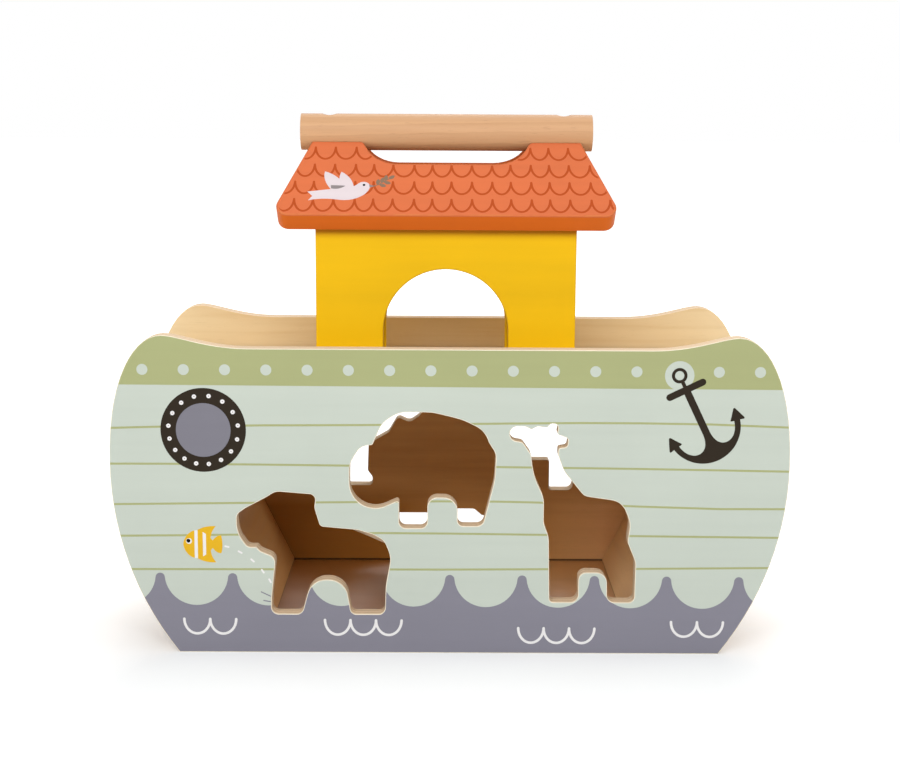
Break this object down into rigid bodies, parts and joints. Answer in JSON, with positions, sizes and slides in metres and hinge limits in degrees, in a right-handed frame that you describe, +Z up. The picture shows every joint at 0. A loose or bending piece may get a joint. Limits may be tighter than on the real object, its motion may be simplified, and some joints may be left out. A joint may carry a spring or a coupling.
{
  "type": "wooden toy ark",
  "caption": "Wooden toy ark: a hull box with animal-shaped posting holes in both sides and a lift-off deck that carries a small house with a ridge handle.",
  "frame": {"origin": "on the table, under the middle of the hull", "axes": "+X along the hull, -Y towards the printed side, +Z up"},
  "size_m": [0.34, 0.14, 0.2709],
  "materials": {
    "hull_print": "satin printed paint on plywood",
    "plywood": "sanded, clear matt lacquer",
    "house_paint": "satin paint",
    "roof_paint": "satin paint with printed tiles",
    "handle_wood": "sanded beech, clear matt lacquer",
    "pin_wood": "plain dowel",
    "screw_steel": "zinc plated"
  },
  "bodies": {
    "hull": {"front_side_panel": "hull_print", "back_side_panel": "hull_print", "floor_board": "plywood", "left_end_board": "plywood", "right_end_board": "plywood", "front_hull_pins": "pin_wood", "back_hull_pins": "pin_wood"},
    "lid": {"deck_board": "plywood", "left_deck_cleat": "plywood", "right_deck_cleat": "plywood", "cleat_screws": "screw_steel", "house_front_wall": "house_paint", "house_back_wall": "house_paint", "left_gable": "house_paint", "right_gable": "house_paint", "front_wall_pins": "pin_wood", "back_wall_pins": "pin_wood", "deck_screws": "screw_steel", "front_roof_panel": "roof_paint", "back_roof_panel": "roof_paint", "front_roof_pins": "pin_wood", "back_roof_pins": "pin_wood", "handle_dowel": "handle_wood", "handle_screws": "screw_steel"}
  },
  "joints": [
    {"name": "lid_lift", "type": "slide", "parent": "hull", "child": "lid", "axis": [0, 0, 1], "range_m": [0, 0.12]}
  ]
}
